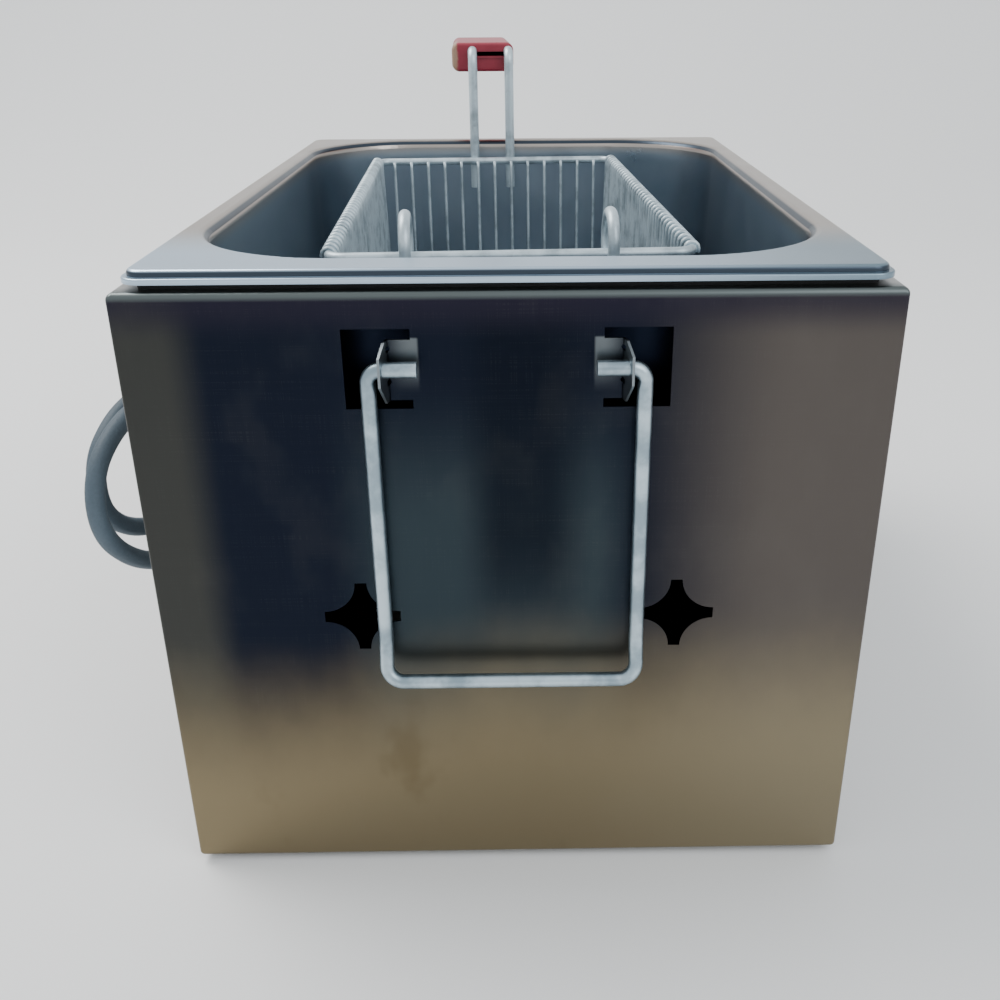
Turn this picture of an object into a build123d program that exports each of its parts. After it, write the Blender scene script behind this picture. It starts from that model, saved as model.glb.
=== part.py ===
from build123d import *
import math
import os

# Single-tank table-top deep fryer: folded stainless casing, drop-in pressed tank, wire basket
# with a fixed handle, and a swing-up wire bail that the basket hangs on to drain.
# Millimetres, +Z up, z = 0 on the table. -Y is the end with the bail, +Y the end with the controls.

# ---- driving dimensions -------------------------------------------------------------------
casing_width = 293.0
casing_depth = 421.0
casing_bottom = 3.0
casing_top = 265.3
sheet = 1.0
fold_radius = 2.6
corner_radius = 1.4
top_return = 15.0
bottom_return = 14.0

rim_top = 272.8
rim_inset = 4.3
rim_half_width = 140.7
lip_inset = 2.2
lip_half_width = 142.8
lip_bottom = 267.8
lip_top = 270.0
tank_half_width = 128.5
tank_near_gap = 27.0
tank_far_gap = 17.0
tank_corner = 62.0
tank_floor = 106.0
tank_wall = 1.0
tank_draft = 5.0

bail_wire = 6.0
bail_centre_x = -1.5
bail_half_width = 51.3
bail_pin_z = 237.7
bail_stand_off = 6.0
bail_kink_z = 122.0
bail_bar_z = 105.0
bail_bar_out = 11.0
bail_corner = 5.0

basket_turn = 2.7
basket_centre_x = -6.6
basket_centre_depth = 226.5
basket_length = 308.0
basket_width = 161.2
basket_top = 264.6
basket_bottom = 141.0
basket_taper = 7.0
frame_wire = 4.5
mesh_wire = 2.0
mesh_pitch = 11.2
side_mesh_pitch = 7.6
handle_wire = 6.0
handle_spacing = 23.8
handle_z = 330.8
handle_reach = 115.0
grip_length = 118.0
grip_width = 41.0
grip_height = 18.0

cord_diameter = 8.2
cord_radius = cord_diameter / 2
control_z = 56.0

# Y runs from the bail's bar to the grip's far end, and the origin is midway between them.
grip_far = basket_centre_depth + basket_length / 2 + 10.0 + grip_length
bail_near = -(bail_bar_out + bail_wire / 2)
near_y = -(grip_far + bail_near) / 2
far_y = near_y + casing_depth
half_width = casing_width / 2

os.makedirs("parts", exist_ok=True)


def at(depth):
    """The Y of a point that many millimetres in from the casing's near face."""
    return near_y + depth


def keep(name, shape):
    """Write one node's solids to its own STEP file."""
    export_step(shape, "parts/" + name + ".step")


def block(x0, x1, y0, y1, z0, z1):
    """A box from its two opposite corners."""
    return Pos((x0 + x1) / 2, (y0 + y1) / 2, (z0 + z1) / 2) * Box(x1 - x0, y1 - y0, z1 - z0)


def rod(start, end, radius):
    """A round bar between two points."""
    start = Vector(*start)
    direction = Vector(*end) - start
    return extrude(Plane(origin=start, z_dir=direction) * Circle(radius), direction.length)


def wire(points, radii, radius):
    """A round wire along straight runs joined by tangent arcs."""
    path = FilletPolyline(*points, radius=radii)
    section = Plane(origin=path @ 0, z_dir=path % 0) * Circle(radius)
    return sweep(section, path=path)


def rounded_slab(half_x, y0, y1, corner, z0, z1):
    """A flat slab with four equal round corners."""
    outline = RectangleRounded(2 * half_x, y1 - y0, corner)
    return extrude(Pos(0, (y0 + y1) / 2, z0) * outline, z1 - z0)


# ---- fixings and the control end's layout --------------------------------------------------
screw_hole = 2.1
screw_shank = 1.9
screw_head = 3.6
gland_y = at(150)
gland_z = 206.0
gland_hole = 7.0
side_holes = [(sx * (half_width - 7.5), at(d)) for sx in (-1, 1) for d in (60, 210, 360)]
foot_places = [(sx * (half_width - 30), at(d)) for sx in (-1, 1) for d in (34, casing_depth - 34)]
foot_radius = 12.0
panel_flange = 12.0
panel_screw_places = [(sx * (half_width - 7.0), z) for sx in (-1, 1) for z in (34, 134, 236)]
knob_x = 66.0
switch_x = -78.0
lamp_places = ((-26.0, "power_lamp"), (2.0, "heat_lamp"))
reset_x = -26.0
reset_z = 30.0
lamp_z = 72.0
knob_shaft_hole = 5.5
lamp_radius = 5.0
reset_radius = 4.0
switch_width = 22.0
switch_height = 30.0

# ---- casing: one folded sheet makes the near end and both sides ---------------------------
window_low = 220.5
window_high = 251.5
tongue_low = 224.0
tongue_high = 247.4
ear_reach = 11.0
ear_tip_half = 5.5
ear_hole = 3.1
relief_hole = 1.1
relief_offset = 6.4
star_half = 15.6
star_arc = 13.2
star_z = 129.8
# Each side of the bail: window's outer edge, its root edge, the fold of the ear, and its lean.
ears = ((-62.5, -37.0, -45.8, 11.0), (60.3, 34.8, 42.2, 14.0))


def star_cut(centre_x):
    """A four-pointed opening: a square less a circle at each corner."""
    outline = Rectangle(2 * star_half, 2 * star_half)
    for sx in (-1, 1):
        for sz in (-1, 1):
            outline -= Pos(sx * star_half, sz * star_half) * Circle(star_arc)
    face = Plane(origin=(centre_x, near_y - 1, star_z), x_dir=(1, 0, 0), z_dir=(0, -1, 0)) * outline
    return extrude(face, -(sheet + 3))


def bail_ear(fold_x, lean):
    """The tab bent out of the sheet, with the pin's hole and chamfered ends."""
    side = math.copysign(1, fold_x)
    pin_z = bail_pin_z
    profile = Polyline(
        (sheet, tongue_low), (-4.0, tongue_low), (-ear_reach, pin_z - ear_tip_half),
        (-ear_reach, pin_z + ear_tip_half), (-4.0, tongue_high), (sheet, tongue_high), close=True)
    face = Plane(origin=(0, 0, 0), x_dir=(0, 1, 0), z_dir=(1, 0, 0)) * make_face(profile)
    plate = Pos(-sheet / 2, 0, 0) * extrude(face, sheet)
    plate = Rot(0, 0, side * lean) * plate
    return Pos(fold_x, near_y, 0) * plate


def make_casing_wrap():
    outer = block(-half_width, half_width, near_y, far_y + 20, casing_bottom, casing_top)
    outer = fillet(outer.edges().filter_by(Axis.Z).group_by(Axis.Y)[0], corner_radius)
    outer = fillet(outer.faces().sort_by(Axis.Z)[-1].edges(), fold_radius)
    outer = fillet(outer.faces().sort_by(Axis.Z)[0].edges(), fold_radius)
    inner = block(-half_width + sheet, half_width - sheet, near_y + sheet, far_y + 30,
                  casing_bottom + sheet, casing_top - sheet)
    inner = fillet(inner.edges().filter_by(Axis.Z).group_by(Axis.Y)[0], corner_radius - sheet)
    inner = fillet(inner.faces().sort_by(Axis.Z)[-1].edges(), fold_radius - sheet)
    inner = fillet(inner.faces().sort_by(Axis.Z)[0].edges(), fold_radius - sheet)
    shell = outer - inner
    shell -= block(-half_width + top_return, half_width - top_return, near_y + top_return, far_y + 40,
                   casing_top - 8, casing_top + 8)
    shell -= block(-half_width + bottom_return, half_width - bottom_return, near_y + bottom_return,
                   far_y + 40, casing_bottom - 8, casing_bottom + 8)
    shell -= block(-half_width - 9, half_width + 9, far_y - sheet, far_y + 60, -9, casing_top + 9)
    for outer_x, root_x, fold_x, lean in ears:
        shell -= block(min(outer_x, root_x), max(outer_x, root_x), near_y - 2, near_y + 2,
                       window_low, window_high)
        side = math.copysign(1, fold_x)
        tongue = block(min(fold_x, root_x), max(fold_x, root_x), near_y, near_y + sheet,
                       tongue_low, tongue_high)
        shell += tongue
        shell += bail_ear(fold_x, lean)
        reach = fold_x + side * 8
        shell -= rod((fold_x - side * 4, near_y - bail_stand_off, bail_pin_z),
                     (reach, near_y - bail_stand_off, bail_pin_z), ear_hole)
        for dz in (-relief_offset, relief_offset):
            shell -= rod((fold_x, near_y - 3, bail_pin_z + dz), (fold_x, near_y + 3, bail_pin_z + dz),
                         relief_hole)
    for centre_x in (-62.7, 66.5):
        shell -= star_cut(centre_x)
    shell -= rod((-half_width - 5, gland_y, gland_z), (-half_width + 5, gland_y, gland_z), gland_hole)
    for x, y in side_holes:
        shell -= rod((x, y, casing_bottom - 4), (x, y, casing_bottom + 4), screw_hole)
    return shell - panel_screw_rods(screw_hole, 8.0)


def panel_screw_rods(radius, length):
    """A level bar at each screw that joins the far panel's flanges to the side walls."""
    rods = []
    for x, z in panel_screw_places:
        side = math.copysign(1, x)
        y = far_y - panel_flange / 2
        rods.append(rod((side * half_width, y, z), (side * (half_width - length), y, z), radius))
    return Compound(children=rods)


def make_front_panel():
    panel = block(-half_width, half_width, far_y - sheet, far_y, casing_bottom, casing_top)
    panel = fillet(panel.edges().filter_by(Axis.Y), fold_radius)
    gap = sheet + 0.05
    x_in = half_width - gap
    for sx in (-1, 1):
        x0, x1 = sorted((sx * x_in, sx * (x_in - sheet)))
        panel += block(x0, x1, far_y - panel_flange, far_y - sheet / 2,
                       casing_bottom + 22, casing_top - 22)
    panel += block(-half_width + 40, half_width - 40, far_y - top_return, far_y - sheet / 2,
                   casing_top - sheet, casing_top)
    panel += block(-half_width + 40, half_width - 40, far_y - bottom_return, far_y - sheet / 2,
                   casing_bottom, casing_bottom + sheet)
    cuts = [rod((knob_x, far_y - 4, control_z), (knob_x, far_y + 4, control_z), knob_shaft_hole)]
    for x, _ in lamp_places:
        cuts.append(rod((x, far_y - 4, lamp_z), (x, far_y + 4, lamp_z), lamp_radius + 0.15))
    cuts.append(rod((reset_x, far_y - 4, reset_z), (reset_x, far_y + 4, reset_z), reset_radius + 2.15))
    cuts.append(block(switch_x - switch_width / 2, switch_x + switch_width / 2, far_y - 4, far_y + 4,
                      control_z - switch_height / 2, control_z + switch_height / 2))
    for cut in cuts:
        panel -= cut
    return panel - panel_screw_rods(screw_hole, 8.0)


keep("front_panel", make_front_panel())
keep("casing_wrap", make_casing_wrap())

# ---- base plate, feet and screws -----------------------------------------------------------
base_top = casing_bottom + 2 * sheet
vent_slot = (36.0, 4.0)
base = block(-half_width + sheet + 2.5, half_width - sheet - 2.5, at(sheet + 2.5), far_y - sheet - 1.5,
             casing_bottom + sheet, base_top)
for row in range(5):
    for column in range(3):
        slot = Pos((column - 1) * 62.0, at(110 + row * 14), 0) * SlotOverall(*vent_slot)
        base -= extrude(Pos(0, 0, casing_bottom - 1) * slot, 8)
for x, y in side_holes:
    base -= rod((x, y, 0), (x, y, 10), screw_hole)
for x, y in foot_places:
    base -= rod((x, y, 0), (x, y, 10), screw_hole)
keep("base_plate", base)

feet = []
foot_screws = []
base_screws = []
for x, y in foot_places:
    foot = rod((x, y, 0), (x, y, casing_bottom + sheet), foot_radius)
    foot -= rod((x, y, -1), (x, y, 9), screw_hole)
    foot -= rod((x, y, -1), (x, y, 2.2), screw_head + 0.4)
    feet.append(foot)
    shank = rod((x, y, 1.0), (x, y, base_top + 3.5), screw_shank)
    head = rod((x, y, 0.8), (x, y, 2.2), screw_head)
    nut = extrude(Pos(x, y, base_top) * RegularPolygon(4.0, 6), 3.0)
    foot_screws.append(shank + head + nut)
for x, y in side_holes:
    head = rod((x, y, casing_bottom - 1.6), (x, y, casing_bottom), screw_head)
    shank = rod((x, y, casing_bottom - 0.5), (x, y, base_top + 6), screw_shank)
    base_screws.append(head + shank)
keep("feet", Compound(children=feet))
keep("foot_screws", Compound(children=foot_screws))
keep("base_screws", Compound(children=base_screws))

panel_screws = []
for x, z in panel_screw_places:
    side = math.copysign(1, x)
    y = far_y - panel_flange / 2
    head = rod((side * half_width, y, z), (side * (half_width + 1.8), y, z), screw_head)
    shank = rod((side * (half_width - 6), y, z), (side * half_width, y, z), screw_shank)
    panel_screws.append(head + shank)
keep("panel_screws", Compound(children=panel_screws))

# ---- tank: one pressed pan with a rounded rim, and the seal strip under it ------------------
tank_y0 = at(tank_near_gap)
tank_y1 = far_y - tank_far_gap
tank_mid_y = (tank_y0 + tank_y1) / 2
tank_length = tank_y1 - tank_y0
floor_radius = 24.0
rim_bend = 5.0
leg_x = 70.0
leg_y = at(365)
bulb_x = 46.0
tube_hole = 4.1
gland_nut_hole = 6.1


def tank_solid(grow, bottom_z, top_z, bottom_radius):
    """The pan's tapered block, grown outwards by a wall's thickness."""
    draft = tank_draft
    low = RectangleRounded(2 * (tank_half_width - draft + grow), tank_length - 2 * draft + 2 * grow,
                           tank_corner - draft + grow)
    high = RectangleRounded(2 * (tank_half_width + grow), tank_length + 2 * grow, tank_corner + grow)
    block_solid = loft([Pos(0, tank_mid_y, bottom_z) * low, Pos(0, tank_mid_y, top_z) * high])
    bottom = block_solid.faces().sort_by(Axis.Z)[0]
    return fillet(bottom.edges(), bottom_radius)


def inner_loop(solid, z):
    """The edges of the pan's mouth at one level."""
    reach = tank_half_width + 4
    picked = [e for e in solid.edges()
              if abs(e.center().Z - z) < 0.01 and e.bounding_box().max.X < reach
              and e.bounding_box().min.X > -reach and abs(e.center().Y - tank_mid_y) < tank_length / 2 + 4]
    return picked


def make_tank():
    y0 = at(rim_inset)
    y1 = far_y - rim_inset
    land = rounded_slab(rim_half_width, y0, y1, 7.0, lip_top - sheet, rim_top)
    land = fillet(land.faces().sort_by(Axis.Z)[-1].edges(), 2.0)
    hollow = rounded_slab(rim_half_width - sheet, y0 + sheet, y1 - sheet, 6.0,
                          lip_top - sheet, rim_top - sheet)
    skirt = rounded_slab(lip_half_width, at(lip_inset), far_y - lip_inset, 9.0, lip_bottom, lip_top)
    skirt = fillet(skirt.faces().sort_by(Axis.Z)[-1].edges(), 0.7)
    skirt -= rounded_slab(lip_half_width - 0.8, at(lip_inset + 0.8), far_y - lip_inset - 0.8, 8.2,
                          lip_bottom - 1, lip_top - sheet)
    skirt -= rounded_slab(rim_half_width - sheet, y0 + sheet, y1 - sheet, 6.0, 200, lip_top + 1)
    rim = (land - hollow) + skirt
    outside = rim + tank_solid(tank_wall, tank_floor - tank_wall, rim_top - sheet + 0.01,
                               floor_radius + tank_wall)
    outside = fillet(inner_loop(outside, rim_top - sheet), rim_bend - sheet)
    cavity = tank_solid(0, tank_floor, rim_top, floor_radius)
    cavity += block(-half_width - 20, half_width + 20, near_y - 20, far_y + 20, rim_top, rim_top + 20)
    cavity = fillet(inner_loop(cavity, rim_top), rim_bend)
    tank = outside - cavity
    for x in (-leg_x, leg_x):
        tank -= rod((x, leg_y, tank_floor - 9), (x, leg_y, tank_floor + 9), gland_nut_hole)
    for x in (-bulb_x, bulb_x):
        tank -= rod((x, leg_y, tank_floor - 9), (x, leg_y, tank_floor + 9), tube_hole)
    return tank


keep("tank", make_tank())

seal_inset = 7.0
seal_half_width = 138.0
seal_width = 4.0
seal = rounded_slab(seal_half_width, at(seal_inset), far_y - seal_inset, 6.0,
                    casing_top, rim_top - sheet)
seal -= rounded_slab(seal_half_width - seal_width, at(seal_inset + seal_width),
                     far_y - seal_inset - seal_width, 3.0, casing_top - 1, rim_top)
keep("rim_seal", seal)

# ---- heater in the pan: one bent tube on two glands, and a wire rack over it ----------------
element_radius = 4.0
element_z = 121.0
leg_bottom = 84.0
run_near = at(85)
run_turn = at(325)
inner_run_x = 24.0
element_path = [
    (-leg_x, leg_y, leg_bottom), (-leg_x, leg_y, element_z), (-leg_x, run_near, element_z),
    (-inner_run_x, run_near, element_z), (-inner_run_x, run_turn, element_z),
    (inner_run_x, run_turn, element_z), (inner_run_x, run_near, element_z),
    (leg_x, run_near, element_z), (leg_x, leg_y, element_z), (leg_x, leg_y, leg_bottom)]
element_bends = [13, 22, 22, 22, 22, 22, 22, 13]
keep("heating_element", wire(element_path, element_bends, element_radius))

element_bushes = []
element_nuts = []
for x in (-leg_x, leg_x):
    bush = rod((x, leg_y, tank_floor), (x, leg_y, tank_floor + 2.5), 9.0)
    bush += rod((x, leg_y, tank_floor - 13), (x, leg_y, tank_floor + 1), 6.0)
    bush -= rod((x, leg_y, 60), (x, leg_y, 140), element_radius)
    element_bushes.append(bush)
    nut = extrude(Pos(x, leg_y, tank_floor - tank_wall - 6) * RegularPolygon(9.5, 6), 6)
    nut -= rod((x, leg_y, 60), (x, leg_y, 140), 6.0)
    element_nuts.append(nut)
keep("element_bushes", Compound(children=element_bushes))
keep("element_nuts", Compound(children=element_nuts))

rack_top = basket_bottom - 0.3
rack_wire = 1.5
rack_half = 96.0
rack_leg_x = 80.0
rack_y0 = at(62)
rack_y1 = at(340)
rack_z = rack_top - rack_wire
rack = None
for x in (-rack_half, 0.0, rack_half):
    rail = rod((x, rack_y0, rack_z), (x, rack_y1, rack_z), rack_wire)
    rack = rail if rack is None else rack + rail
for step in range(15):
    y = rack_y0 + 6 + step * (rack_y1 - rack_y0 - 12) / 14
    rack += rod((-rack_half - 4, y, rack_z), (rack_half + 4, y, rack_z), rack_wire)
keep("element_rack", rack)
legs = []
for x in (-rack_leg_x, rack_leg_x):
    for y in (rack_y0 + 6, rack_y1 - 6):
        legs.append(rod((x, y, tank_floor), (x, y, rack_z - rack_wire), 2.0))
keep("rack_legs", Compound(children=legs))

# ---- sensors: a bulb in the oil and its capillary tube down to each control -----------------
bulb_radius = 3.0
bulb_z = element_z
bulb_y0 = at(150)
bulb_y1 = at(232)
capillary_radius = 1.0
thermostat_size = (40.0, 26.0, 36.0)
thermostat_front = far_y - sheet - 0.5
control_back_y = thermostat_front - 14.0
capillary_ends = (("thermostat", 1, knob_x - 8, control_z + 14), ("limiter", -1, reset_x - 10, reset_z + 14))
for name, side, end_x, end_z in capillary_ends:
    x = side * bulb_x
    keep(name + "_bulb", rod((x, bulb_y0, bulb_z), (x, bulb_y1, bulb_z), bulb_radius))
    tube_points = [(x, bulb_y1, bulb_z), (x, leg_y, bulb_z), (x, leg_y, end_z + 22),
                   (end_x, control_back_y, end_z + 16), (end_x, control_back_y, end_z)]
    keep(name + "_capillary", wire(tube_points, [12, 8, 8], capillary_radius))
capillary_glands = []
for x in (-bulb_x, bulb_x):
    plug_nut = rod((x, leg_y, tank_floor), (x, leg_y, tank_floor + 2), 6.5)
    plug_nut += rod((x, leg_y, tank_floor - 9), (x, leg_y, tank_floor + 1), 4.0)
    plug_nut += extrude(Pos(x, leg_y, tank_floor - tank_wall - 5) * RegularPolygon(6.5, 6), 5)
    plug_nut -= rod((x, leg_y, 60), (x, leg_y, 140), capillary_radius)
    capillary_glands.append(plug_nut)
keep("capillary_glands", Compound(children=capillary_glands))

# ---- controls on the far panel: thermostat and knob, switch, lamps, reset button ------------
shaft_radius = 3.0
bush_radius = 5.3
shaft_clear = 0.05
w, d, h = thermostat_size
thermostat = block(knob_x - w / 2, knob_x + w / 2, thermostat_front - d, thermostat_front,
                   control_z - h / 2, control_z + h / 2 - 4)
thermostat += rod((knob_x, thermostat_front - 2, control_z), (knob_x, far_y + 4, control_z), bush_radius)
thermostat -= rod((knob_x, thermostat_front - 12, control_z), (knob_x, far_y + 9, control_z),
                  shaft_radius + shaft_clear)
for x in (-12, 0, 12):
    thermostat += block(knob_x + x - 3, knob_x + x + 3, thermostat_front - d - 9,
                        thermostat_front - d + 1, control_z - 0.5, control_z + 0.5)
keep("thermostat", thermostat)

dial_radius = 27.0
dial = rod((knob_x, far_y, control_z), (knob_x, far_y + 0.8, control_z), dial_radius)
dial -= rod((knob_x, far_y - 1, control_z), (knob_x, far_y + 2, control_z), bush_radius + 0.2)
keep("dial_plate", dial)

knob_radius = 19.0
knob_base = far_y + 1.8
knob = rod((knob_x, knob_base, control_z), (knob_x, knob_base + 6, control_z), knob_radius)
knob += Pos(knob_x, knob_base + 6, control_z) * Rot(-90, 0, 0) * Cone(17.0, 14.0, 11.0,
                                                                     align=(Align.CENTER,) * 2 + (Align.MIN,))
knob -= rod((knob_x, far_y, control_z), (knob_x, far_y + 5, control_z), bush_radius + 0.6)
knob -= rod((knob_x, far_y, control_z), (knob_x, knob_base + 12, control_z), shaft_radius)
keep("knob", knob)
keep("knob_shaft", rod((knob_x, thermostat_front - 11, control_z), (knob_x, knob_base + 12, control_z),
                       shaft_radius))

bezel = 2.0
switch_lean = 8.0
rocker_half = (8.8, 12.8)
window_half = (9.2, 13.9)
pivot_y = far_y - 0.5
switch_depth = 20.0
housing = block(switch_x - switch_width / 2 - 2, switch_x + switch_width / 2 + 2, far_y, far_y + bezel,
                control_z - switch_height / 2 - 2, control_z + switch_height / 2 + 2)
housing += block(switch_x - switch_width / 2 + 0.1, switch_x + switch_width / 2 - 0.1,
                 far_y - switch_depth, far_y + 0.5,
                 control_z - switch_height / 2 + 0.1, control_z + switch_height / 2 - 0.1)
housing -= block(switch_x - window_half[0], switch_x + window_half[0], far_y - 9, far_y + 5,
                 control_z - window_half[1], control_z + window_half[1])
housing -= rod((switch_x - 10.4, pivot_y, control_z), (switch_x + 10.4, pivot_y, control_z), 1.25)
for z in (-8, 0, 8):
    housing += block(switch_x - 3, switch_x + 3, far_y - switch_depth - 8, far_y - switch_depth + 1,
                     control_z + z - 0.4, control_z + z + 0.4)
keep("switch_housing", housing)

rocker = Box(2 * rocker_half[0], 8.5, 2 * rocker_half[1])
rocker = Pos(0, 0.25, 0) * fillet(rocker.edges().filter_by(Axis.X), 1.2)
rocker += rod((-10.2, 0, 0), (10.2, 0, 0), 1.2)
keep("switch_rocker", Pos(switch_x, pivot_y, control_z) * Rot(switch_lean, 0, 0) * rocker)

lamp_bodies = []
for x, name in lamp_places:
    lens = rod((x, far_y - 2, lamp_z), (x, far_y + 2, lamp_z), lamp_radius)
    lens += rod((x, far_y, lamp_z), (x, far_y + 1.6, lamp_z), lamp_radius + 1.8)
    keep(name, lens)
    lamp_bodies.append(rod((x, far_y - 24, lamp_z), (x, far_y - 2, lamp_z), lamp_radius))
keep("lamp_bodies", Compound(children=lamp_bodies))

limiter = block(reset_x - 16, reset_x + 16, thermostat_front - 22, thermostat_front,
                reset_z - 14, reset_z + 14)
limiter += rod((reset_x, thermostat_front - 1, reset_z), (reset_x, far_y + 2, reset_z), reset_radius + 2)
limiter += rod((reset_x, far_y, reset_z), (reset_x, far_y + 2, reset_z), reset_radius + 3.5)
limiter -= rod((reset_x, thermostat_front - 10, reset_z), (reset_x, far_y + 5, reset_z),
               reset_radius + shaft_clear)
keep("limiter", limiter)
button = rod((reset_x, far_y - 8, reset_z), (reset_x, far_y + 5, reset_z), reset_radius)
keep("reset_button", fillet(button.edges().sort_by(Axis.Y)[-1], 0.8))

# ---- supply inside: gland wires down to a terminal block, and the earth stud ----------------
block_x = -70.0
block_y = at(215)
terminal = block(block_x - 9, block_x + 9, block_y - 22, block_y + 22, base_top, base_top + 17)
for step in range(3):
    terminal -= rod((block_x, block_y - 13 + step * 13, base_top + 9),
                    (block_x, block_y - 13 + step * 13, base_top + 30), 2.5)
keep("terminal_block", terminal)
stud = rod((block_x + 40, block_y, base_top), (block_x + 40, block_y, base_top + 14), 2.5)
for z in (0, 6):
    stud += extrude(Pos(block_x + 40, block_y, base_top + z) * RegularPolygon(4.6, 6), 3)
keep("earth_stud", stud)
wire_radius = 1.3
wall_gap_x = -half_width + 12.0
for step, name in enumerate(("live_wire", "neutral_wire", "earth_wire")):
    y = gland_y + (step - 1) * 3.2
    end_y = block_y - 13 + step * 13
    entry_z = base_top + 5.0
    run = [(-half_width + sheet + 5, y, gland_z), (wall_gap_x, y, gland_z), (wall_gap_x, y, 45 + step * 4),
           (wall_gap_x + 22, end_y - 12, entry_z + 20), (wall_gap_x + 40, end_y, entry_z),
           (block_x - 9, end_y, entry_z)]
    keep(name, wire(run, [4, 9, 9, 5], wire_radius))

# ---- bail: one bent wire whose ends spring into the two ears --------------------------------
r = bail_wire / 2
pin_y = near_y - bail_stand_off
bar_y = near_y - bail_bar_out
left_x = bail_centre_x - bail_half_width
right_x = bail_centre_x + bail_half_width
bail_path = [
    (-34.5, pin_y, bail_pin_z), (left_x, pin_y, bail_pin_z), (left_x, pin_y, bail_kink_z),
    (left_x, bar_y, bail_bar_z), (right_x, bar_y, bail_bar_z),
    (right_x, pin_y, bail_kink_z), (right_x, pin_y, bail_pin_z), (32.0, pin_y, bail_pin_z)]
keep("drain_bail", wire(bail_path, [bail_corner, 10, 7, 7, 10, bail_corner], r))

# ---- basket, modelled square to itself and then turned a little in the pan ------------------
basket_place = Pos(basket_centre_x, at(basket_centre_depth), 0) * Rot(0, 0, basket_turn)
half_l = basket_length / 2 - frame_wire / 2
half_w = basket_width / 2 - frame_wire / 2
frame_z = basket_top - frame_wire / 2
low_l = half_l - basket_taper
low_w = half_w - basket_taper
floor_z = basket_bottom + mesh_wire / 2
grid_bar = mesh_wire * 0.9


def ring(half_x, half_y, z, radius, corner):
    """A closed rectangular wire hoop with round corners."""
    path = Pos(0, 0, z) * RectangleRounded(2 * half_x, 2 * half_y, corner).wire()
    section = Plane(origin=(half_x, 0, z), x_dir=(1, 0, 0), z_dir=(0, 1, 0)) * Circle(radius)
    return sweep(section, path=path)


def grid_plate(width, height, top_width, pitch, levels):
    """A flat welded grid: a trapezoid of upright and level bars of one thickness."""
    outline = make_face(Polyline((-width / 2, 0), (width / 2, 0), (top_width / 2, height),
                                 (-top_width / 2, height), close=True))
    bars = None
    count = int(width // pitch)
    for step in range(count + 1):
        x = (step - count / 2) * pitch
        bar = Pos(x, height / 2) * Rectangle(grid_bar, height)
        bars = bar if bars is None else bars + bar
    for step in range(levels + 1):
        bars += Pos(0, grid_bar / 2 + step * (height - grid_bar) / levels) * Rectangle(top_width, grid_bar)
    return extrude(outline & bars, grid_bar / 2, both=True)


hoop_radius = 1.8
hoop_z = basket_bottom + hoop_radius
wall_base = hoop_z + hoop_radius + 0.15
wall_height = frame_z - frame_wire / 2 - 0.2 - wall_base
lean_angle = math.degrees(math.atan2(basket_taper, frame_z - floor_z))
top_gain = 2 * basket_taper * wall_height / (frame_z - floor_z)
long_wall = 2 * low_l - 6
short_wall = 2 * low_w - 6
sides = (("basket_right_mesh", 90, low_w, long_wall, side_mesh_pitch),
         ("basket_left_mesh", -90, low_w, long_wall, side_mesh_pitch),
         ("basket_far_mesh", 180, low_l, short_wall, mesh_pitch),
         ("basket_near_mesh", 0, low_l, short_wall, mesh_pitch))
for name, turn, reach, width, pitch in sides:
    plate = grid_plate(width, wall_height, width + top_gain, pitch, 1)
    plate = Rot(90 + lean_angle, 0, 0) * plate
    keep(name, basket_place * Rot(0, 0, turn) * Pos(0, -reach - 0.8, wall_base) * plate)
bottom_width = 2 * low_w - 2
bottom_grid = grid_plate(bottom_width, 2 * low_l - 2, bottom_width, mesh_pitch, 24)
keep("basket_bottom_mesh", basket_place * Pos(0, -low_l + 1, floor_z) * bottom_grid)
keep("basket_frame", basket_place * ring(half_w, half_l, frame_z, frame_wire / 2, 8.0))
keep("basket_base_hoop", basket_place * ring(low_w + 1.5, low_l + 1.5, hoop_z, hoop_radius, 3.0))

hook_wire = 5.0
hook_places = (-44.4, 40.9)
hook_top = 280.6
hook_gap = 24.0
hook_root = half_l - frame_wire / 2 - hook_wire / 2 - 0.3
hooks = []
for x in hook_places:
    points = [(x, -hook_root, frame_z - 10), (x, -hook_root, hook_top),
              (x, -hook_root - hook_gap, hook_top), (x, -hook_root - hook_gap, frame_z - 6)]
    hooks.append(wire(points, [11.5, 11.5], hook_wire / 2))
keep("basket_hooks", basket_place * Compound(children=hooks))

handle_y = half_l + frame_wire / 2 + handle_wire / 2
handle_x = -1.1
handle_path = [
    (handle_x - handle_spacing / 2, handle_y, frame_z - 18),
    (handle_x - handle_spacing / 2, handle_y, handle_z),
    (handle_x - handle_spacing / 2, handle_y + handle_reach, handle_z),
    (handle_x + handle_spacing / 2, handle_y + handle_reach, handle_z),
    (handle_x + handle_spacing / 2, handle_y, handle_z),
    (handle_x + handle_spacing / 2, handle_y, frame_z - 18)]
keep("handle_wire", basket_place * wire(handle_path, [7, 8, 8, 7], handle_wire / 2))

grip = Box(grip_width, grip_length, grip_height)
grip = fillet(grip.edges().filter_by(Axis.Y), 5.0)
grip = fillet(grip.faces().sort_by(Axis.Y)[-1].edges(), 4.0)
grip = fillet(grip.faces().sort_by(Axis.Y)[0].edges(), 2.0)
grip_z = handle_z - 3.8
grip_offset = -5.0
grip_near = handle_y + 8.0
grip = Pos(handle_x + grip_offset, grip_near + grip_length / 2, grip_z) * grip
grip -= wire(handle_path, [7, 8, 8, 7], handle_wire / 2 + 0.1)
slot_half = handle_spacing / 2
grip -= block(handle_x - slot_half, handle_x + slot_half, grip_near - 2, grip_near + 105,
              handle_z - 3.2, handle_z - 0.4)
grip -= block(handle_x - slot_half + 3, handle_x + slot_half - 3, grip_near - 1, grip_near + 0.9,
              handle_z - 11.0, handle_z - 4.4)
keep("handle_grip", basket_place * grip)

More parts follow.
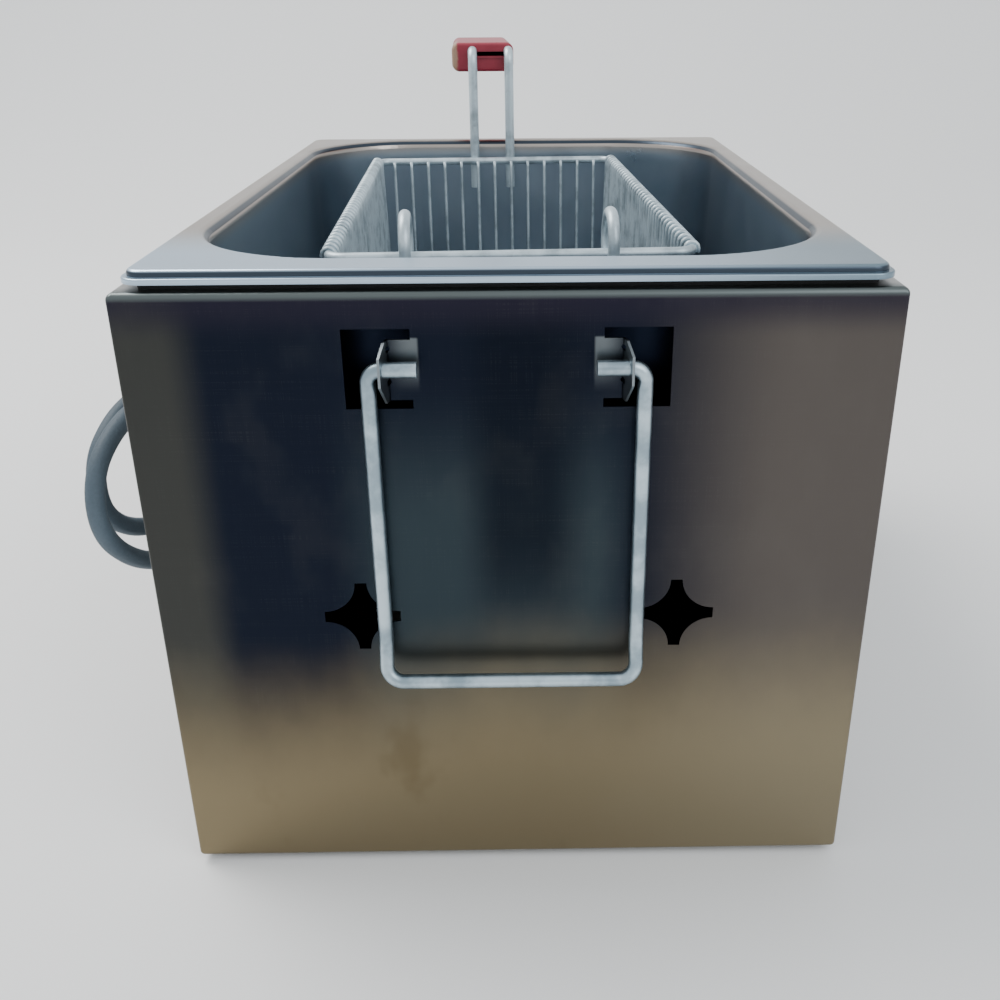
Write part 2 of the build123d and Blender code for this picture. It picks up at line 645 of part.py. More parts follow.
# ---- cord: gland and elbow on the left wall, lead, coil, tail and plug ----------------------
elbow_x = -half_width - 13.0
lead_start = (-160.0, at(126), 204.0)
gland = rod((-half_width - 4, gland_y, gland_z), (-half_width, gland_y, gland_z), 11.0)
gland += rod((-half_width - 4, gland_y, gland_z), (-half_width + sheet + 5, gland_y, gland_z), 6.8)
gland += rod((-half_width + sheet, gland_y, gland_z), (-half_width + sheet + 4, gland_y, gland_z), 9.5)
gland += rod((elbow_x, gland_y, gland_z), (-half_width - 3, gland_y, gland_z), 7.0)
gland += Pos(elbow_x, gland_y, gland_z) * Sphere(7.0)
keep("cord_gland", gland)
sleeve_start = Vector(elbow_x - 0.4, gland_y - 6.6, gland_z - 0.6)
sleeve_run = Vector(*lead_start) - sleeve_start
sleeve = Plane(origin=sleeve_start, z_dir=sleeve_run) * Cone(
    6.4, 5.0, sleeve_run.length - 1.0, align=(Align.CENTER, Align.CENTER, Align.MIN))
keep("strain_relief", sleeve - gland)

coil_x = -205.0
coil_y = at(352)
coil_outer = 49.2
coil_inner = 41.0
lead_route = [
    lead_start, (-163, at(103), 203), (-167, at(79), 201.5), (-173, at(55), 197.5),
    (-177, at(36), 184.5), (-175.5, at(32), 161.5), (-166.5, at(48), 147), (-157.5, at(73), 144),
    (-151.5, at(96), 152.5), (-151.3, at(104), 176), (-152, at(90), 197.5), (-159, at(64), 203.5),
    (-166, at(39), 200), (-170.5, at(18), 186.5), (-170, at(13), 162.5), (-164, at(28), 142.5),
    (-156.5, at(52), 130), (-152.5, at(76), 114.5), (-151.5, at(90), 90), (-151.5, at(94), 62),
    (-152, at(98), 34), (-152.5, at(112), 10), (-152.5, at(136), 4.2), (-153.5, at(170), 4.2),
    (-152.5, at(213), 4.2), (-153.8, at(256), 4.2), (-154.6, at(290), 4.2), (-155.2, at(322), 4.2)]
bend_share = 0.45


def route_radii(route):
    """Each corner's arc: 0.45 of its shorter run over the tangent of half its turn."""
    points = [Vector(*p) for p in route]
    radii = []
    for before, here, after in zip(points, points[1:], points[2:]):
        turn = (here - before).get_angle(after - here)
        run = min((here - before).length, (after - here).length)
        radii.append(bend_share * run / math.tan(math.radians(turn) / 2))
    return radii


def cord_tube(name, route):
    radii = route_radii(route)
    path = FilletPolyline(*route, radius=radii)
    tube = sweep(Plane(origin=path @ 0, z_dir=path % 0) * Circle(cord_radius), path=path)
    expected = math.pi * cord_radius ** 2 * path.length
    print(name, "length", round(path.length, 1), "volume ratio", round(tube.volume / expected, 4),
          "radii", [round(value, 1) for value in radii])
    keep(name, tube)


cord_tube("cord_lead", lead_route)
coil = Pos(coil_x, coil_y, 0) * Cylinder(coil_outer + cord_radius, 2 * cord_diameter,
                                         align=(Align.CENTER, Align.CENTER, Align.MIN))
coil = fillet(coil.edges(), cord_radius * 0.9)
coil -= Pos(coil_x, coil_y, -1) * Cylinder(coil_inner - cord_radius, 3 * cord_diameter,
                                           align=(Align.CENTER, Align.CENTER, Align.MIN))
tie_wall = 1.0
tie_x = coil_x - (coil_outer + coil_inner) / 2
tie_half = (coil_outer - coil_inner) / 2 + cord_radius
tie_top = 2 * cord_diameter
tie_outer = block(tie_x - tie_half - tie_wall, tie_x + tie_half + tie_wall, coil_y - 3, coil_y + 3,
                  0, tie_top + tie_wall)
tie_inner = block(tie_x - tie_half, tie_x + tie_half, coil_y - 4, coil_y + 4, tie_wall, tie_top)
tie = tie_outer - tie_inner
keep("cord_tie", tie)
keep("cord_coil", coil - tie)

# The tail leaves the coil on its upper layer, a little past the lead, and meets the plug's back.
leave_angle = math.radians(20.0)
leave_x = coil_x + coil_outer * math.cos(leave_angle)
leave_y = coil_y + coil_outer * math.sin(leave_angle)
plug_radius = 17.0
pin_spacing = 19.0


def along_tail(distance, z):
    return (leave_x - distance * math.sin(leave_angle), leave_y + distance * math.cos(leave_angle), z)


cord_tube("cord_tail", [along_tail(28.6, 12.7), along_tail(39, 16.2), along_tail(49.5, plug_radius)])
plug_place = Plane(origin=along_tail(50, plug_radius), x_dir=(math.cos(leave_angle), math.sin(leave_angle), 0),
                   z_dir=(-math.sin(leave_angle), math.cos(leave_angle), 0))
upward = (Align.CENTER, Align.CENTER, Align.MIN)
plug = plug_place * Cone(6.0, plug_radius - 3, 16.0, align=upward)
plug += plug_place * Pos(0, 0, 15) * Cylinder(plug_radius, 35.0, align=upward)
keep("plug_body", plug)
pins = []
for side in (-1, 1):
    pins.append(plug_place * Pos(side * pin_spacing / 2, 0, 50) * Cylinder(2.4, 19.0, align=upward))
keep("plug_pins", Compound(children=pins))
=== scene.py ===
import math
import bpy
import numpy as np
from mathutils import Matrix, Vector


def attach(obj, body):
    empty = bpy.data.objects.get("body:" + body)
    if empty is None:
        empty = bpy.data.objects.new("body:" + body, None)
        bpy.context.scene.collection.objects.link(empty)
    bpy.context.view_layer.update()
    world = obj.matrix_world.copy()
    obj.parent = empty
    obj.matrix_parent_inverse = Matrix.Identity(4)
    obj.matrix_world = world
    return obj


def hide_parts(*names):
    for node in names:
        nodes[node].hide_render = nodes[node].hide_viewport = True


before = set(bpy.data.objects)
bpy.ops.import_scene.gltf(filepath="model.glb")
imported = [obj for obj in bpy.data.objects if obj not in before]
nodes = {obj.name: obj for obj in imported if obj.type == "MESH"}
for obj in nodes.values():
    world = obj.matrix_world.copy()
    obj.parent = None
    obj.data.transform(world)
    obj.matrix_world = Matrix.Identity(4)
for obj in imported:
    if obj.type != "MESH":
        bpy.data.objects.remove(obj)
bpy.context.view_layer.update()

# Shared sizes, in metres in the row frame: +Y runs from the bail end to the control end.
NEAR = -0.24725


def at(depth):
    """The Y of a point that many millimetres in from the casing's near face."""
    return NEAR + depth / 1000.0


# ---- Camera -------------------------------------------------------------------------------
# Level with the top of the basket's grip, close in front of the bail end, looking down 24.6
# degrees, with the lens centre a little right of the frame's middle.
YAW, PITCH, ROLL = math.radians(0.81), math.radians(24.63), math.radians(-0.28)
camera_data = bpy.data.cameras.new("camera")
camera_data.lens = 39.15
camera_data.sensor_width = 36.0
camera_data.shift_x = -0.04
camera_data.clip_start = 0.01
camera = bpy.data.objects.new("camera", camera_data)
bpy.context.scene.collection.objects.link(camera)
camera.location = (0.00515, NEAR - 0.3895, 0.3605)
forward = Vector((math.sin(YAW) * math.cos(PITCH), math.cos(YAW) * math.cos(PITCH), -math.sin(PITCH)))
level_right = Vector((math.cos(YAW), -math.sin(YAW), 0.0))
level_up = level_right.cross(forward)
right = level_right * math.cos(ROLL) + level_up * math.sin(ROLL)
up = level_up * math.cos(ROLL) - level_right * math.sin(ROLL)
camera.rotation_euler = Matrix((right, up, -forward)).transposed().to_euler()
bpy.context.scene.camera = camera


# ---- Floor, room and lights -------------------------------------------------------------------
# A wide pale floor under an even pale room, a large soft lamp high on the left and a weaker one
# on the right, so that edges keep a highlight and a soft shadow sits under the casing.
class Value:
    """One shader value: arithmetic on it adds the nodes that work it out."""

    def __init__(self, shader, socket):
        self.shader = shader
        self.socket = socket

    def math(self, operation, first, second):
        return self.shader.node("ShaderNodeMath", {"operation": operation}, {0: first, 1: second})

    def __add__(self, other):
        return self.math("ADD", self, other)

    __radd__ = __add__

    def __mul__(self, other):
        return self.math("MULTIPLY", self, other)

    __rmul__ = __mul__

    def __sub__(self, other):
        return self.math("SUBTRACT", self, other)

    def __rsub__(self, other):
        return self.math("SUBTRACT", other, self)

    def __truediv__(self, other):
        return self.math("DIVIDE", self, other)

    def __rtruediv__(self, other):
        return self.math("DIVIDE", other, self)


class Shader:
    """A material under construction, with its Principled surface."""

    def __init__(self, name, **constants):
        self.material = bpy.data.materials.new(name)
        self.material.use_nodes = True
        self.tree = self.material.node_tree
        self.surface = self.tree.nodes["Principled BSDF"]
        for key, value in constants.items():
            self.set(key.replace("_", " "), value)

    def set(self, socket, value):
        self.feed(self.surface.inputs[socket], value)

    def feed(self, target, value):
        if isinstance(value, Value):
            self.tree.links.new(value.socket, target)
        elif isinstance(value, tuple) and len(value) == 3 and target.type == "RGBA":
            target.default_value = (*value, 1.0)
        else:
            target.default_value = value

    def node(self, kind, settings, inputs, output=0):
        made = self.tree.nodes.new(kind)
        for key, value in settings.items():
            setattr(made, key, value)
        for key, value in inputs.items():
            self.feed(made.inputs[key], value)
        return Value(self, made.outputs[output])

    def place(self):
        """The three coordinates of the point being shaded, in metres."""
        spot = self.node("ShaderNodeTexCoord", {}, {}, "Object")
        return [self.node("ShaderNodeSeparateXYZ", {}, {0: spot}, axis) for axis in "XYZ"]

    def ramp(self, value, low, high):
        """0 below low, 1 above high, easing between; low may be above high."""
        return self.node("ShaderNodeMapRange", {"interpolation_type": "SMOOTHSTEP"},
                         {"Value": value, "From Min": low, "From Max": high})

    def blend(self, first, second, share):
        return self.node("ShaderNodeMix", {"data_type": "RGBA"}, {0: share, 6: first, 7: second}, 2)

    def noise(self, stretch, detail=3.0, roughness=0.5):
        """Noise whose cells are 1/stretch metres long on each axis."""
        spot = self.node("ShaderNodeTexCoord", {}, {}, "Object")
        scaled = self.node("ShaderNodeVectorMath", {"operation": "MULTIPLY"}, {0: spot, 1: stretch})
        return self.node("ShaderNodeTexNoise", {}, {"Vector": scaled, "Scale": 1.0, "Detail": detail,
                                                     "Roughness": roughness}, 0)

    def bump(self, height, strength, distance):
        normal = self.node("ShaderNodeBump", {}, {"Height": height, "Strength": strength,
                                                    "Distance": distance}, "Normal")
        self.set("Normal", normal)


# The floor runs back and curves up into a wall: y = START + R sin(t), z = R (1 - cos(t)).
START, SWEEP = 1.2, 1.6
profile = [(-9.0, 0.0), (START, 0.0)]
for step in range(1, 33):
    turn = math.pi / 2 * step / 32
    profile.append((START + SWEEP * math.sin(turn), SWEEP * (1 - math.cos(turn))))
profile.append((START + SWEEP, 7.0))
corners = [(side, y, z) for y, z in profile for side in (-9.0, 9.0)]
strips = [(2 * k, 2 * k + 1, 2 * k + 3, 2 * k + 2) for k in range(len(profile) - 1)]
floor_mesh = bpy.data.meshes.new("floor")
floor_mesh.from_pydata(corners, [], strips)
floor_mesh.polygons.foreach_set("use_smooth", [True] * len(strips))
floor = bpy.data.objects.new("floor", floor_mesh)
bpy.context.scene.collection.objects.link(floor)
floor_mesh.materials.append(Shader("floor", Base_Color=(0.88, 0.88, 0.88), Roughness=0.9).material)
room = bpy.data.worlds.new("room")
room.use_nodes = True
room.node_tree.nodes["Background"].inputs[0].default_value = (0.93, 0.97, 1.0, 1.0)
room.node_tree.nodes["Background"].inputs[1].default_value = 1.05
bpy.context.scene.world = room


def soft_lamp(name, place, target, size, power, colour):
    data = bpy.data.lights.new(name, "AREA")
    data.shape = "DISK"
    data.size = size
    data.energy = power
    data.color = colour
    lamp = bpy.data.objects.new(name, data)
    bpy.context.scene.collection.objects.link(lamp)
    lamp.location = place
    lamp.rotation_euler = (Vector(target) - Vector(place)).to_track_quat("-Z", "Y").to_euler()


soft_lamp("key", (-1.2, 0.5, 2.0), (0, 0, 0.2), 1.4, 42.0, (1.0, 0.98, 0.95))
soft_lamp("fill", (1.3, -1.6, 1.6), (0, 0, 0.1), 1.6, 16.0, (0.94, 0.97, 1.0))


# ---- Supply cord: lead, coil, tail and plug ------------------------------------------------------
# One limp grey rubber cord of about 1.65 m. It leaves the elbow on the left wall, hangs in two
# loops beside the wall, runs back along the floor, and is put away as a tied coil with its plug.
CORD = 0.0082
COIL = (-0.205, at(352))
OUTER, INNER = 0.0492, 0.041
LOW, HIGH = CORD / 2, 1.5 * CORD
LEAVE = 20.0
route = [
    (-160, 126, 204), (-163, 103, 203), (-167, 79, 201.5), (-173, 55, 197.5),
    (-177, 36, 184.5), (-175.5, 32, 161.5), (-166.5, 48, 147), (-157.5, 73, 144),
    (-151.5, 96, 152.5), (-151.3, 104, 176), (-152, 90, 197.5), (-159, 64, 203.5),
    (-166, 39, 200), (-170.5, 18, 186.5), (-170, 13, 162.5), (-164, 28, 142.5),
    (-156.5, 52, 130), (-152.5, 76, 114.5), (-151.5, 90, 90), (-151.5, 94, 62),
    (-152, 98, 34), (-152.5, 112, 10), (-152.5, 136, 4.2), (-153.5, 170, 4.2),
    (-152.5, 213, 4.2), (-153.8, 256, 4.2), (-154.6, 290, 4.2), (-155.2, 322, 4.2)]
cord_points = [(x / 1000, at(y), z / 1000) for x, y, z in route]


def ease(value, low, high):
    share = min(1.0, max(0.0, (value - low) / (high - low)))
    return share * share * (3 - 2 * share)


def coil_point(angle):
    """Radius steps in, the strand climbs a layer, then it steps out again: three turns and a bit."""
    radius = OUTER + (INNER - OUTER) * (ease(angle, 290, 360) - ease(angle, 890, 960))
    height = LOW + (HIGH - LOW) * ease(angle, 590, 660)
    turn = math.radians(angle)
    return (COIL[0] + radius * math.cos(turn), COIL[1] + radius * math.sin(turn), height)


for step in range(int((1080 + LEAVE) / 15) + 1):
    cord_points.append(coil_point(15.0 * step))
leave = math.radians(LEAVE)
leave_x = COIL[0] + OUTER * math.cos(leave)
leave_y = COIL[1] + OUTER * math.sin(leave)
for distance, height in ((0.016, HIGH), (0.0286, 0.0127), (0.039, 0.0162), (0.0495, 0.017)):
    cord_points.append((leave_x - distance * math.sin(leave), leave_y + distance * math.cos(leave), height))

cord_curve = bpy.data.curves.new("supply_cord", "CURVE")
cord_curve.dimensions = "3D"
cord_curve.bevel_depth = CORD / 2
cord_curve.bevel_resolution = 5
cord_curve.resolution_u = 8
cord_curve.use_fill_caps = True
spline = cord_curve.splines.new("NURBS")
spline.points.add(len(cord_points) - 1)
for point, spot in zip(spline.points, cord_points):
    point.co = (*spot, 1.0)
spline.order_u = 3
spline.use_endpoint_u = True
supply_cord = bpy.data.objects.new("supply_cord", cord_curve)
bpy.context.scene.collection.objects.link(supply_cord)
cord_look = Shader("cord_rubber", Roughness=0.62)
weave = cord_look.noise((900.0, 900.0, 900.0), 2.0)
patches = cord_look.noise((45.0, 45.0, 45.0), 3.0)
cord_look.set("Base Color", cord_look.blend((0.035, 0.052, 0.068), (0.085, 0.125, 0.16),
                                              0.55 * patches + 0.45 * weave))
cord_look.bump(weave, 0.5, 0.0004)
cord_curve.materials.append(cord_look.material)
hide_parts("cord_lead", "cord_coil", "cord_tail")
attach(supply_cord, "housing")


def paint(shader, *names):
    """Puts one finish on CAD nodes, whose shapes are kept."""
    for name in names:
        piece = nodes[name]
        if not piece.material_slots:
            piece.data.materials.append(shader.material)
        for entry in piece.material_slots:
            entry.link = "OBJECT"
            entry.material = shader.material


moulded = Shader("moulded_black", Base_Color=(0.012, 0.013, 0.015), Roughness=0.5)
moulded.bump(moulded.noise((1500.0, 1500.0, 1500.0), 2.0), 0.15, 0.0001)
paint(moulded, "plug_body", "cord_gland", "strain_relief", "cord_tie", "knob", "switch_housing",
      "thermostat", "limiter", "lamp_bodies")
paint(Shader("plug_pin", Base_Color=(0.75, 0.72, 0.62), Metallic=1.0, Roughness=0.25), "plug_pins")


# ---- Casing: the folded wrap and the far panel ---------------------------------------------------
# Worn brushed sheet. The bail end carries a painted reflection, dark blue above and warm tan towards the
# floor, browner on the right, with faint wiped patches over it; the other walls are plainer grey.
steel = Shader("casing_steel", Metallic=1.0)
x, y, z = steel.place()
fine = steel.noise((30.0, 30.0, 2600.0), 2.0)
cross = steel.noise((2200.0, 2200.0, 40.0), 2.0)
smudge = steel.noise((17.0, 17.0, 12.0), 4.0, 0.6)
wiped = steel.noise((38.0, 38.0, 26.0), 3.0, 0.55)
# Painted reflection on the upper face: dark blue, browner to the right, with a lighter lower band, a paler
# left edge, a darker middle and a purple-grey band near the top.
upper_painted_reflection = steel.blend((0.0092, 0.0122, 0.0215), (0.088, 0.077, 0.070), steel.ramp(x, 0.040, 0.110))
upper_painted_reflection = steel.blend(upper_painted_reflection, (0.028, 0.040, 0.048),
                    steel.ramp(x, -0.075, -0.045) * steel.ramp(x, 0.055, 0.03) * steel.ramp(z, 0.235, 0.17))
upper_painted_reflection = steel.blend(upper_painted_reflection, (0.042, 0.043, 0.040), steel.ramp(x, -0.112, -0.130))
middle = steel.ramp(x, -0.024, -0.004) * steel.ramp(x, 0.036, 0.012)
upper_painted_reflection = steel.blend(upper_painted_reflection, (0.0065, 0.009, 0.015), middle * steel.ramp(z, 0.10, 0.17) * 0.85)
upper_painted_reflection = steel.blend(upper_painted_reflection, (0.022, 0.020, 0.033), steel.ramp(z, 0.246, 0.262) * 0.8)
# Painted reflection on the lower face: warm tan, lighter to the right, meeting the upper colour at an
# uneven height.
bottom = steel.blend((0.200, 0.162, 0.098), (0.240, 0.202, 0.132), steel.ramp(x, 0.0, 0.13))
warm_top = z + 0.030 * smudge + 0.018 * steel.ramp(x, -0.02, -0.10)
near_face_painted_light_and_wear = steel.blend(bottom, upper_painted_reflection, steel.ramp(warm_top, 0.066, 0.154))
near_face_painted_light_and_wear = steel.blend(near_face_painted_light_and_wear, (0.32, 0.31, 0.26), steel.ramp(wiped, 0.50, 0.72) * 0.016)
grease = steel.ramp(smudge, 0.58, 0.70) * steel.ramp(z, 0.12, 0.05) * 0.35
near_face_painted_light_and_wear = steel.blend(near_face_painted_light_and_wear, (0.10, 0.07, 0.03), grease)
near_face_painted_light_and_wear = steel.blend(near_face_painted_light_and_wear, (0.19, 0.19, 0.18), steel.ramp(fine * cross, 0.30, 0.42) * 0.035)
# The two tabs bent out for the bail, and the tongues that they spring from, catch more light.
tongue_height = steel.ramp(z, 0.2215, 0.2235) * steel.ramp(z, 0.2485, 0.2475)
tongue = (steel.ramp(x, -0.048, -0.037) * steel.ramp(x, -0.0338, -0.0350)
          + steel.ramp(x, 0.045, 0.034) * steel.ramp(x, 0.0308, 0.0320))
tongue_shine = tongue * tongue_height * steel.ramp(z, 0.226, 0.243) * 0.8
near_face_painted_light_and_wear = steel.blend(near_face_painted_light_and_wear, (0.16, 0.18, 0.19), tongue_shine)
# Painted highlight along the rounded top fold of the face.
near_face_painted_light_and_wear = steel.blend(near_face_painted_light_and_wear, (0.12, 0.14, 0.14), steel.ramp(z, 0.2618, 0.2640))
near_face_painted_light_and_wear = steel.blend(near_face_painted_light_and_wear, (0.22, 0.25, 0.27), steel.ramp(y, NEAR - 0.0006, NEAR - 0.0030))
plain = steel.blend((0.30, 0.29, 0.27), (0.42, 0.42, 0.42), smudge)
colour = steel.blend(near_face_painted_light_and_wear, plain, steel.ramp(y, NEAR + 0.0015, NEAR + 0.010))
steel.set("Base Color", colour)
steel.set("Roughness", 0.27 + 0.10 * smudge + 0.07 * fine)
steel.bump(0.55 * fine + 0.45 * cross, 0.16, 0.00010)
paint(steel, "casing_wrap")
panel_steel = Shader("panel_steel", Metallic=1.0)
panel_grain = panel_steel.noise((30.0, 30.0, 2600.0), 2.0)
panel_smudge = panel_steel.noise((14.0, 14.0, 11.0), 4.0, 0.6)
panel_steel.set("Base Color", panel_steel.blend((0.32, 0.31, 0.30), (0.44, 0.44, 0.44), panel_smudge))
panel_steel.set("Roughness", 0.28 + 0.12 * panel_smudge)
panel_steel.bump(panel_grain, 0.10, 0.00006)
paint(panel_steel, "front_panel", "base_plate")
plated = Shader("plated_steel", Base_Color=(0.58, 0.58, 0.56), Metallic=1.0, Roughness=0.3)
paint(plated, "foot_screws", "base_screws", "panel_screws", "earth_stud", "element_nuts", "knob_shaft")
rubber = Shader("foot_rubber", Base_Color=(0.014, 0.014, 0.015), Roughness=0.75)
paint(rubber, "feet", "rim_seal")


# ---- Tank: the pressed pan with its rolled rim ---------------------------------------------------
# Drawn sheet, dull blue-grey inside; the land carries a painted reflection, bright and bluish on the near
# land, darker to the right and browner down the sides.
pan = Shader("tank_steel", Metallic=1.0)
x, y, z = pan.place()
mottle = pan.noise((22.0, 22.0, 22.0), 4.0, 0.6)
drawn = pan.noise((500.0, 500.0, 14.0), 2.0)
# Painted reflection on the land: bright at the near left, darker to the right, browner on the side lands.
land = pan.blend((0.50, 0.62, 0.74), (0.22, 0.30, 0.36), pan.ramp(x, 0.02, 0.14))
land = pan.blend(land, (0.42, 0.37, 0.33), pan.ramp(y, at(30), at(90)))
# Painted shade: a dark band on the rim's shoulder.
shoulder_painted_shade = pan.ramp(z, 0.2699, 0.2703) * pan.ramp(z, 0.2725, 0.2717)
land = pan.blend(land, (0.050, 0.065, 0.085), shoulder_painted_shade)
inside = pan.blend((0.25, 0.32, 0.39), (0.40, 0.46, 0.52), mottle)
# Walls that face away from the middle are the pan's outside, painted near-black as painted shade inside the
# casing.
normal = pan.node("ShaderNodeNewGeometry", {}, {}, "Normal")
facing_x = pan.node("ShaderNodeSeparateXYZ", {}, {0: normal}, "X")
facing_y = pan.node("ShaderNodeSeparateXYZ", {}, {0: normal}, "Y")
outward = facing_x * x + facing_y * (y - at(215))
inside = pan.blend(inside, (0.010, 0.014, 0.026), pan.ramp(outward, 0.01, 0.03))
pan.set("Base Color", pan.blend(inside, land, pan.ramp(z, 0.262, 0.270)))
pan.set("Roughness", 0.24 + 0.14 * mottle)
pan.bump(drawn, 0.06, 0.00006)
paint(pan, "tank")


# ---- Heater, rack and sensors in the pan ----------------------------------------------------------
# An oxidised sheath on brass glands under a plain wire rack, with two copper bulbs.
sheath = Shader("element_sheath", Metallic=1.0, Roughness=0.45)
burnt = sheath.noise((60.0, 60.0, 60.0))
sheath.set("Base Color", sheath.blend((0.07, 0.065, 0.06), (0.16, 0.14, 0.12), burnt))
paint(sheath, "heating_element")
rack_wire = Shader("rack_wire", Base_Color=(0.42, 0.43, 0.44), Metallic=1.0, Roughness=0.35)
paint(rack_wire, "element_rack", "rack_legs")
paint(Shader("gland_brass", Base_Color=(0.60, 0.45, 0.20), Metallic=1.0, Roughness=0.35),
      "element_bushes", "capillary_glands")
paint(Shader("sensor_copper", Base_Color=(0.60, 0.33, 0.20), Metallic=1.0, Roughness=0.35),
      "thermostat_bulb", "thermostat_capillary", "limiter_bulb", "limiter_capillary")


# ---- Bail: one zinc-plated wire -------------------------------------------------------------------
# Bluish bright plating with duller patches and small scuffs.
zinc = Shader("zinc_wire", Metallic=1.0)
dull = zinc.noise((60.0, 60.0, 60.0), 4.0, 0.6)
scuff = zinc.noise((420.0, 420.0, 420.0), 3.0, 0.6)
zinc.set("Base Color", zinc.blend((0.28, 0.36, 0.41), (0.52, 0.63, 0.69), zinc.ramp(dull, 0.35, 0.62)))
zinc.set("Roughness", 0.26 + 0.2 * scuff)
zinc.bump(scuff, 0.12, 0.0001)
paint(zinc, "drain_bail")


# ---- Basket: frame wire, mesh, hooks and handle ----------------------------------------------------
# The mesh is drawn wire by wire: uprights that hook over the frame wire, level wires round the
# walls, and a crossed floor. It is turned a little in the pan, as its CAD nodes are.
TURN = math.radians(2.7)
CENTRE = (-0.0066, at(226.5))
HALF_L, HALF_W = 0.15175, 0.07835
FRAME_WIRE = 0.00225
TAPER = 0.007
FRAME_Z = 0.26235
FLOOR_Z = 0.142
WIRE = 0.0010
PITCH = 0.0112
SIDE_PITCH = 0.0076


def basket_to_row(points):
    """Turns basket coordinates (along its own axes) into the row frame."""
    points = np.asarray(points, dtype=float)
    turned = points.copy()
    turned[:, 0] = CENTRE[0] + points[:, 0] * math.cos(TURN) - points[:, 1] * math.sin(TURN)
    turned[:, 1] = CENTRE[1] + points[:, 0] * math.sin(TURN) + points[:, 1] * math.cos(TURN)
    return turned


def tubes(name, paths, radius, sides=8):
    """One closed mesh of round wires: a ring of `sides` points square to each path point."""
    vertices, faces = [], []
    for path in paths:
        path = np.asarray(path, dtype=float)
        tangent = np.gradient(path, axis=0)
        tangent /= np.linalg.norm(tangent, axis=1)[:, None]
        guide = np.array((0.31, 0.47, 0.83))
        across = np.cross(tangent, guide)
        across /= np.linalg.norm(across, axis=1)[:, None]
        upward = np.cross(tangent, across)
        angles = np.arange(sides) * 2 * math.pi / sides
        first = len(vertices)
        for centre, a, b in zip(path, across, upward):
            for angle in angles:
                vertices.append(centre + radius * (a * math.cos(angle) + b * math.sin(angle)))
        count = len(path)
        for ring in range(count - 1):
            for side in range(sides):
                low = first + ring * sides
                faces.append((low + side, low + (side + 1) % sides,
                              low + sides + (side + 1) % sides, low + sides + side))
        faces.append(tuple(first + side for side in reversed(range(sides))))
        faces.append(tuple(first + (count - 1) * sides + side for side in range(sides)))
    mesh = bpy.data.meshes.new(name)
    mesh.from_pydata([tuple(v) for v in vertices], [], faces)
    mesh.polygons.foreach_set("use_smooth", [len(face) == 4 for face in faces])
    mesh.update()
    piece = bpy.data.objects.new(name, mesh)
    bpy.context.scene.collection.objects.link(piece)
    return piece


def wall_inset(z):
    """How far the basket's wall has leaned in at one height."""
    return TAPER * (FRAME_Z - z) / (FRAME_Z - FLOOR_Z)


def upright(across, half, outward, hooked):
    """From the floor up the inside of a wall to the frame wire; a hooked one goes on over it.

    across is the fixed coordinate along the wall; half the wall's distance from the centre."""
    over = FRAME_WIRE + 0.7 * WIRE
    profile = [(half - wall_inset(FLOOR_Z) - 0.0004, FLOOR_Z), (half - wall_inset(0.2) - 0.0008, 0.2),
               (half - over, FRAME_Z - 0.004), (half - over, FRAME_Z)]
    if hooked:
        for step in range(1, 6):
            turn = math.pi * step / 6
            profile.append((half - over * math.cos(turn), FRAME_Z + over * math.sin(turn)))
        profile += [(half + over, FRAME_Z), (half + over, FRAME_Z - 0.0016)]
    if outward[0]:
        return [(outward[0] * reach, across, z) for reach, z in profile]
    return [(across, outward[1] * reach, z) for reach, z in profile]


paths = []
for side in (-1, 1):
    for step in range(-19, 20):
        paths.append(basket_to_row(upright(step * SIDE_PITCH, HALF_W, (side, 0), True)))
    for step in range(-6, 7):
        paths.append(basket_to_row(upright(step * PITCH, HALF_L, (0, side), False)))
uprights = tubes("basket_uprights", paths, WIRE)

paths = []
CORNER = 0.006
for z in (0.1455, 0.1500):
    w = HALF_W - wall_inset(z) - 0.0026 - CORNER
    l = HALF_L - wall_inset(z) - 0.0026 - CORNER
    loop = []
    for cx, cy, start in ((w, l, 0), (-w, l, 90), (-w, -l, 180), (w, -l, 270)):
        for angle in range(start, start + 91, 15):
            turn = math.radians(angle)
            loop.append((cx + CORNER * math.cos(turn), cy + CORNER * math.sin(turn), z))
    loop.append(loop[0])
    paths.append(basket_to_row(loop))
for step in range(-6, 7):
    reach = HALF_L - TAPER
    paths.append(basket_to_row([(step * PITCH, -reach, FLOOR_Z), (step * PITCH, reach, FLOOR_Z)]))
for step in range(-12, 13):
    reach = HALF_W - TAPER
    over = FLOOR_Z + 0.0015
    paths.append(basket_to_row([(-reach, step * PITCH, over), (reach, step * PITCH, over)]))
levels = tubes("basket_levels", paths, WIRE)

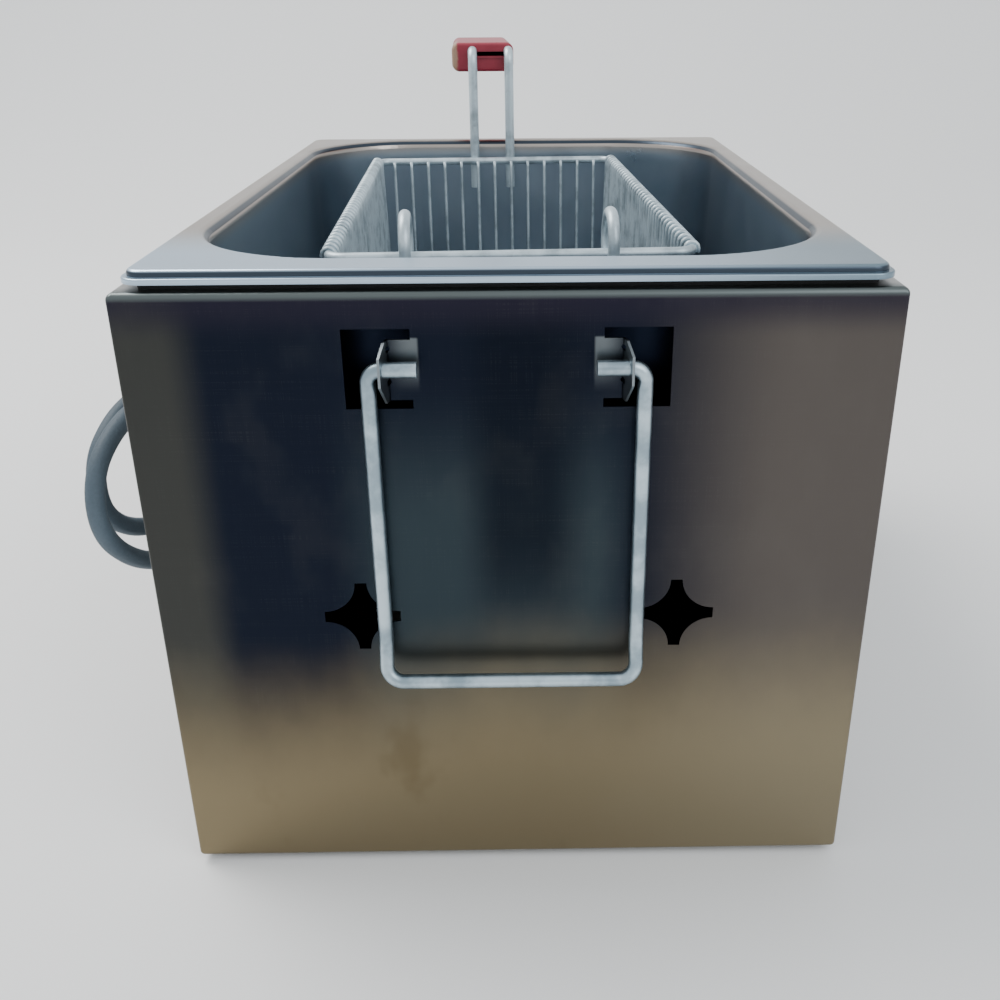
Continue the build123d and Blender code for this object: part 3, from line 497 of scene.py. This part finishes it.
basket_look = Shader("basket_wire", Metallic=0.75)
tarnish = basket_look.noise((70.0, 70.0, 70.0), 4.0, 0.6)
basket_look.set("Base Color", basket_look.blend((0.36, 0.43, 0.47), (0.60, 0.70, 0.75),
                                                  basket_look.ramp(tarnish, 0.3, 0.6)))
basket_look.set("Roughness", 0.34 + 0.2 * tarnish)
paint(basket_look, "basket_frame", "basket_base_hoop", "basket_hooks", "handle_wire")
for piece in (uprights, levels):
    piece.data.materials.append(basket_look.material)
    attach(piece, "basket")
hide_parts("basket_near_mesh", "basket_far_mesh", "basket_left_mesh", "basket_right_mesh")
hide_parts("basket_bottom_mesh")


# ---- Grip: a moulded red handle on the two wires --------------------------------------------------
# Red plastic, rubbed pale along its left side.
grip = Shader("grip_red", Roughness=0.42)
x, y, z = grip.place()
rub = grip.noise((120.0, 120.0, 120.0), 4.0, 0.65)
red = grip.blend((0.22, 0.010, 0.026), (0.34, 0.024, 0.050), rub)
# Painted highlight: the top of the grip is painted lighter.
red = grip.blend(red, (0.40, 0.10, 0.12), grip.ramp(z, 0.3345, 0.3362) * 0.5)
left_edge = x + 0.047 * (y - 0.144) + 0.005 * (rub - 0.5)
worn = grip.ramp(left_edge, -0.0365, -0.0385) * grip.ramp(y, 0.215, 0.165)
red = grip.blend(red, (0.36, 0.23, 0.15), worn)
grip.set("Base Color", red)
grip.bump(rub, 0.1, 0.0002)
paint(grip, "handle_grip")


# ---- Controls and wiring ---------------------------------------------------------------------------
# Black knob over a silver dial, black rocker, green and amber lamps and a red reset button.
paint(Shader("dial_silver", Base_Color=(0.62, 0.62, 0.62), Metallic=1.0, Roughness=0.35), "dial_plate")
paint(Shader("rocker_black", Base_Color=(0.014, 0.014, 0.015), Roughness=0.22), "switch_rocker")
paint(Shader("lens_green", Base_Color=(0.02, 0.36, 0.08), Roughness=0.15), "power_lamp")
paint(Shader("lens_amber", Base_Color=(0.75, 0.25, 0.02), Roughness=0.15), "heat_lamp")
paint(Shader("button_red", Base_Color=(0.45, 0.012, 0.012), Roughness=0.25), "reset_button")
paint(Shader("block_white", Base_Color=(0.7, 0.7, 0.67), Roughness=0.5), "terminal_block")
paint(Shader("wire_brown", Base_Color=(0.14, 0.05, 0.02), Roughness=0.45), "live_wire")
paint(Shader("wire_blue", Base_Color=(0.02, 0.07, 0.40), Roughness=0.45), "neutral_wire")
paint(Shader("wire_green", Base_Color=(0.06, 0.33, 0.05), Roughness=0.45), "earth_wire")
